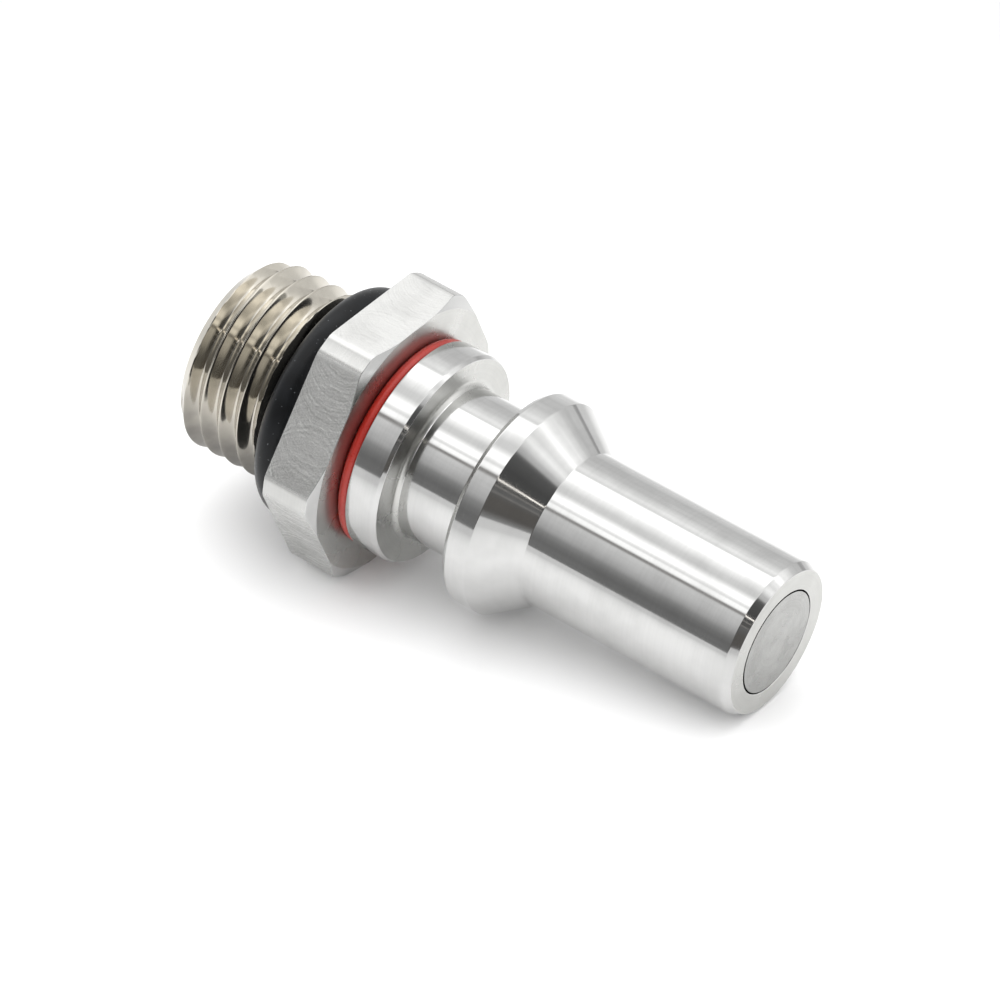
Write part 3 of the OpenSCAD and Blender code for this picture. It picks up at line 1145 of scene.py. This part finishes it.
@dataclass
class ValveSpring:
    """The round wire spring between the guide and the valve's flange, with closed and ground ends."""

    mean_r: float = 2.62
    wire_r: float = 0.35
    turns: int = 9
    steps: int = 48
    wire_sides: int = 16
    travel: float = 5.0

    def coil(self) -> bpy.types.Object:
        """Wind the wire: a line of points is bent into the coil, and the wire is swept along it.

        Returns:
            The coil, in millimetres on the upright axis.
        """
        tree = ShapeTree("valve spring", {
            "Mean radius": self.mean_r, "Wire radius": self.wire_r, "Turns": float(self.turns),
            "Rear": SIZES.guide_front, "Front": SIZES.flange_rear,
        }, {"Steps": self.steps, "Wire sides": self.wire_sides})
        mean_r, wire_r, turns, rear, front = tree.sizes
        steps, wire_sides = tree.counts
        line = tree.add("GeometryNodeMeshLine", {"Count": (turns + 2.0) * steps + 1.0})
        wire = tree.add("GeometryNodeMeshToCurve", {0: line})
        # One closed turn at each end, with the working turns between them
        turn = Amount(tree.add("GeometryNodeInputIndex")) / steps
        closed = wire_r * 2.0
        pitch = (front - rear - closed * 2.0) / turns
        first = turn.at_most(1.0) * closed
        working = (turn - 1.0).at_least(0.0).at_most(turns) * pitch
        last = (turn - turns - 1.0).at_least(0.0) * closed
        angle = turn * (2 * math.pi)
        x, y = mean_r * angle.reckon("COSINE"), mean_r * angle.reckon("SINE")
        bent = tree.moved(wire, x, y, rear + first + working + last)
        section = tree.add("GeometryNodeCurvePrimitiveCircle", {"Resolution": wire_sides, "Radius": wire_r})
        swept = tree.add("GeometryNodeCurveToMesh", {
            "Curve": bent, "Profile Curve": section, "Fill Caps": True})
        # Both ends are ground flat
        x, y, z = tree.place()
        ground = tree.moved(swept, x, y, z.at_most(front).at_least(rear))
        return tree.run("coil_spring", ground, SPRING_WIRE)

    def build(self) -> None:
        """Build the spring and lay it down on the body."""
        obj = self.coil()
        obj.data.shade_smooth()
        hand_over(obj, "body", "valve_spring")
        tuple(AXIS.at(SIZES.guide_front))
        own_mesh(obj)


class InnerParts:
    """The inner pieces whose CAD solids are right as they are and only take their finish."""

    finishes: dict[str, MetalFinish | RubberFinish] = {
        "valve_guide": GUIDE_BRASS,
        "retaining_ring": SPRING_STEEL,
        "joint_gasket": WHITE_GASKET,
        "valve_seal": BLACK_RUBBER,
    }

    def build(self) -> None:
        """Dress every CAD object of these nodes."""
        for obj in bpy.data.objects:
            finish = self.finishes.get(obj.name.split("[")[0].split(".")[0])
            if finish:
                dress(obj, finish)
                log.info("%s dressed with %s", obj.name, finish.name)


# Studio


@dataclass(frozen=True)
class Band:
    """A strip of the studio that lies parallel to the plug's axis.

    Attributes:
        upper: Angle of its upper end, in degrees round the axis from the camera's side over the top.
        light: Radiance at that end. It blends to the next band's.
        warmth: How much warmer than neutral its light is.
    """

    upper: float
    light: float
    warmth: float = 0.0

    # A ramp's colours go up to 1, so it holds a third of the light
    ramp_share = 1 / 3

    @property
    def stop(self) -> tuple[float, tuple[float, float, float, float]]:
        """The band's place in a ramp from -180 to 180 degrees, and its colour there."""
        level = self.light * self.ramp_share
        return (self.upper + 180) / 360, (level * (1 + self.warmth), level, level * (1 - self.warmth), 1.0)


# Strips that the surfaces along the plug reflect: the dark room behind the camera, a low white reflector,
# an overhead light with its frame, the ceiling and the wall behind
SIDE_BANDS = (
    Band(-180, 1.20), Band(-60, 1.20), Band(-47, 0.27), Band(-42, 0.24), Band(-33, 0.22), Band(-27, 0.28),
    Band(-20, 0.40), Band(-14, 0.62), Band(-8, 0.77), Band(-2, 0.88), Band(7.8, 0.93), Band(8.8, 0.36, 0.03),
    Band(12.0, 0.34, 0.03), Band(13.0, 1.75), Band(18.5, 1.80), Band(20, 1.20), Band(22, 1.30),
    Band(25, 1.95), Band(31, 2.00), Band(35, 1.40), Band(40, 1.03), Band(46, 1.06), Band(52, 1.40),
    Band(58, 1.75), Band(64, 2.27), Band(78, 2.27), Band(80, 1.12), Band(86.5, 1.50), Band(94, 1.20),
    Band(104, 0.90), Band(128, 0.81), Band(139, 1.00),
)
# Strips that the surfaces turned towards the nose reflect: past the end of the light the room is dark
END_BANDS = (
    Band(-180, 1.10), Band(-44, 1.00), Band(-37, 0.34), Band(-29, 0.14, 0.05), Band(-14, 0.15, 0.06),
    Band(-3, 0.19), Band(1, 0.15, 0.02), Band(8.0, 0.12, 0.01), Band(16, 0.11), Band(24, 0.105),
    Band(34, 0.12), Band(43, 0.15), Band(47.5, 0.22), Band(50, 0.70), Band(57, 0.86), Band(63, 1.20),
    Band(69, 1.53), Band(77, 1.23), Band(86, 1.46), Band(92, 1.95), Band(98, 1.85), Band(103, 1.50),
    Band(112, 1.42), Band(119, 1.25), Band(127, 0.94), Band(137, 0.84), Band(150, 0.87), Band(153, 0.50),
)
# Thin warm lines of light in the dark part of the room: their angle, radiance and half width
LIGHT_LINES = ((10.9, 2.6, 0.9), (3.5, 0.35, 0.7), (-4.0, 0.2, 0.8))
LINE_COLOUR = (1.0, 0.95, 0.89)
# What the surroundings show below the horizon
FLOOR_LIGHT = (0.96, 0.96, 0.96, 1.0)
WHITE = (1.0, 1.0, 1.0, 1.0)


@dataclass
class Studio:
    """Floor, surroundings and camera.

    Attributes:
        camera_at: Place of the camera, in millimetres.
        camera_right: The way that is right in its picture.
        camera_down: The way that is down in its picture.
        lens: Its focal length in millimetres, for a sensor 36 mm wide.
        floor_size: Side of the floor, in metres.
        painted_light_reach: Distances from its middle between which the painted light on it fades, in
            millimetres.
        painted_light_near: Its colour, with the painted light at its brightest, up to the first of them.
        painted_light_far: Its colour, with the painted light faded, from the second on.
        light_end: Share of the plug's axis in a direction where the overhead light ends.
        light_skew: How far the end of the light runs askew, in degrees for a full share.
    """

    camera_at: tuple[float, float, float] = (293.89, -419.908, 366.496)
    camera_right: tuple[float, float, float] = (0.81537, 0.57887, 0.00922)
    camera_down: tuple[float, float, float] = (0.33811, -0.4632, -0.81922)
    lens: float = 336.75
    floor_size: float = 1.6
    painted_light_reach: tuple[float, float] = (20.0, 90.0)
    painted_light_near: float = 0.92
    painted_light_far: float = 0.58
    light_end: float = 0.69
    light_skew: float = 40.0

    def build(self) -> None:
        """Set the floor, the surroundings and the camera."""
        self.surroundings()
        self.floor()
        self.camera()
        bpy.context.scene.view_settings.view_transform = "Standard"
        bpy.context.scene.view_settings.look = "None"

    def camera(self) -> None:
        """Set the camera to the photograph's viewpoint."""
        right, up = Vector(self.camera_right).normalized(), -Vector(self.camera_down).normalized()
        back = right.cross(up).normalized()
        turn = Matrix((right, back.cross(right), back)).transposed().to_4x4()
        data = bpy.data.cameras.new("camera")
        data.lens, data.sensor_width, data.sensor_fit = self.lens, 36.0, "HORIZONTAL"
        data.clip_start, data.clip_end = 0.01, 10.0
        obj = linked("camera", data)
        obj.matrix_world = Matrix.Translation(Vector(self.camera_at) * MM) @ turn
        bpy.context.scene.camera = obj

    def floor(self) -> None:
        """Lay the floor, a white card with painted light: its colour is palest round the plug and gets darker
        further out.
        """
        half = self.floor_size / 2
        mesh = bpy.data.meshes.new("floor")
        corners = [(-half, -half, 0), (half, -half, 0), (half, half, 0), (-half, half, 0)]
        mesh.from_pydata(corners, [], [(0, 1, 2, 3)])
        material = bpy.data.materials.new("white_card")
        tree = emptied(material)
        place = add_node(tree, "ShaderNodeTexCoord").outputs["Object"]
        # Painted light: the card's colour is palest round the plug and darker further out, a painted pool of
        # light and its falloff
        reach = Amount(vectors(tree, "LENGTH", place)) / MM
        card = add_node(tree, "ShaderNodeBsdfPrincipled", {
            "Base Color": reach.spread(*self.painted_light_reach, self.painted_light_near, self.painted_light_far),
            "Roughness": 0.9,
            "Specular IOR Level": 0.1,
        })
        add_node(tree, "ShaderNodeOutputMaterial", {0: card.outputs[0]})
        mesh.materials.append(material)
        linked("floor", mesh)

    def strips(self, bands: Sequence[Band], angle: Amount) -> Socket:
        """Give the light of a set of bands at an angle in degrees.

        Args:
            bands: The bands, from -180 degrees on.
            angle: The angle.

        Returns:
            The light.
        """
        tree = angle.socket.id_data
        ramp = add_node(tree, "ShaderNodeValToRGB", {0: angle / 360 + 0.5})
        stops = ramp.color_ramp.elements
        stops.remove(stops[-1])
        stops[0].position, stops[0].color = bands[0].stop
        for place, colour in (band.stop for band in bands[1:]):
            stops.new(place).color = colour
        return vectors(tree, "SCALE", ramp.outputs[0], scale=1 / Band.ramp_share)

    def room(self, way: Socket) -> Socket:
        """Work out the light that comes from each direction above the floor.

        Args:
            way: The direction.

        Returns:
            Its light.
        """
        tree = way.id_data
        to_camera, ahead = Vector(self.camera_at) * MM, AXIS.ahead
        near = (to_camera - ahead * to_camera.dot(ahead)).normalized()
        reach, side, top = (
            Amount(vectors(tree, "DOT_PRODUCT", way, axis)) for axis in (ahead, near, near.cross(ahead)))
        angle = top.reckon("ARCTAN2", side) * (180 / math.pi)
        skewed = (self.light_end - reach) * self.light_skew + angle
        turned_ahead = reach.spread(-0.1, 0.1, 0.0, 1.0)
        lit = mixed(tree, turned_ahead, self.strips(SIDE_BANDS, angle), self.strips(END_BANDS, skewed))
        for line, light, half in LIGHT_LINES:
            peak = (angle - line).reckon("ABSOLUTE").spread(half * 0.6, half, light, 0.0)
            lit = vectors(tree, "MULTIPLY_ADD", peak * turned_ahead, LINE_COLOUR, lit)
        # Nothing in a real room is quite even
        cloud = add_node(tree, "ShaderNodeTexNoise", {"Vector": way, "Scale": 11.0, "Detail": 3.0})
        return vectors(tree, "SCALE", lit, scale=Amount(cloud.outputs["Fac"]).spread(0.3, 0.7, 0.93, 1.07))

    def surroundings(self) -> None:
        """Build the world: the room for reflections, light from overhead for matt surfaces, else white."""
        world = bpy.data.worlds.new("studio")
        bpy.context.scene.world = world
        tree = emptied(world)
        way = add_node(tree, "ShaderNodeTexCoord").outputs["Generated"]
        height = Amount(add_node(tree, "ShaderNodeSeparateXYZ", {0: way}).outputs["Z"])
        # Below the horizon the surroundings take the floor's brightness
        low = height.spread(-0.006, 0.0, 1.0, 0.0)
        light = mixed(tree, low, self.room(way), FLOOR_LIGHT)
        overhead = height.at_least(0.0).reckon("POWER", 3.0) * 1.35 + 1.15
        glow, soft, plain = (
            add_node(tree, "ShaderNodeBackground", {"Color": colour, "Strength": strength}).outputs[0]
            for colour, strength in ((light, 1.0), (WHITE, overhead), (WHITE, 1.0)))
        ray = add_node(tree, "ShaderNodeLightPath").outputs
        for kind, shown in (("Is Diffuse Ray", soft), ("Is Camera Ray", plain)):
            glow = add_node(tree, "ShaderNodeMixShader", {0: ray[kind], 1: glow, 2: shown}).outputs[0]
        add_node(tree, "ShaderNodeOutputWorld", {0: glow})


def build_plug() -> None:
    """Build every piece of the plug, from the hexagon to the nose."""
    EndAdapter().build()
    PlugBody().build()
    SealRing(
        "marker_cord", "marker_ring", "red_rubber", RED_RUBBER,
        inner_r=6.765, cord_d=0.88, station=SIZES.hex_front + 0.44).build()
    SealRing(
        "port_cord", "port_seal", "black_rubber", BLACK_RUBBER,
        inner_r=SIZES.seal_seat_r, cord_d=2.6, station=-1.45).build()
    FlushValve().build()
    ValveSpring().build()
    InnerParts().build()


def main() -> None:
    """Build the plug and its studio."""
    logging.basicConfig(level=logging.INFO, format="%(name)s: %(message)s")
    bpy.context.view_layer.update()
    build_plug()
    Studio().build()


if __name__ == "__main__":
    main()
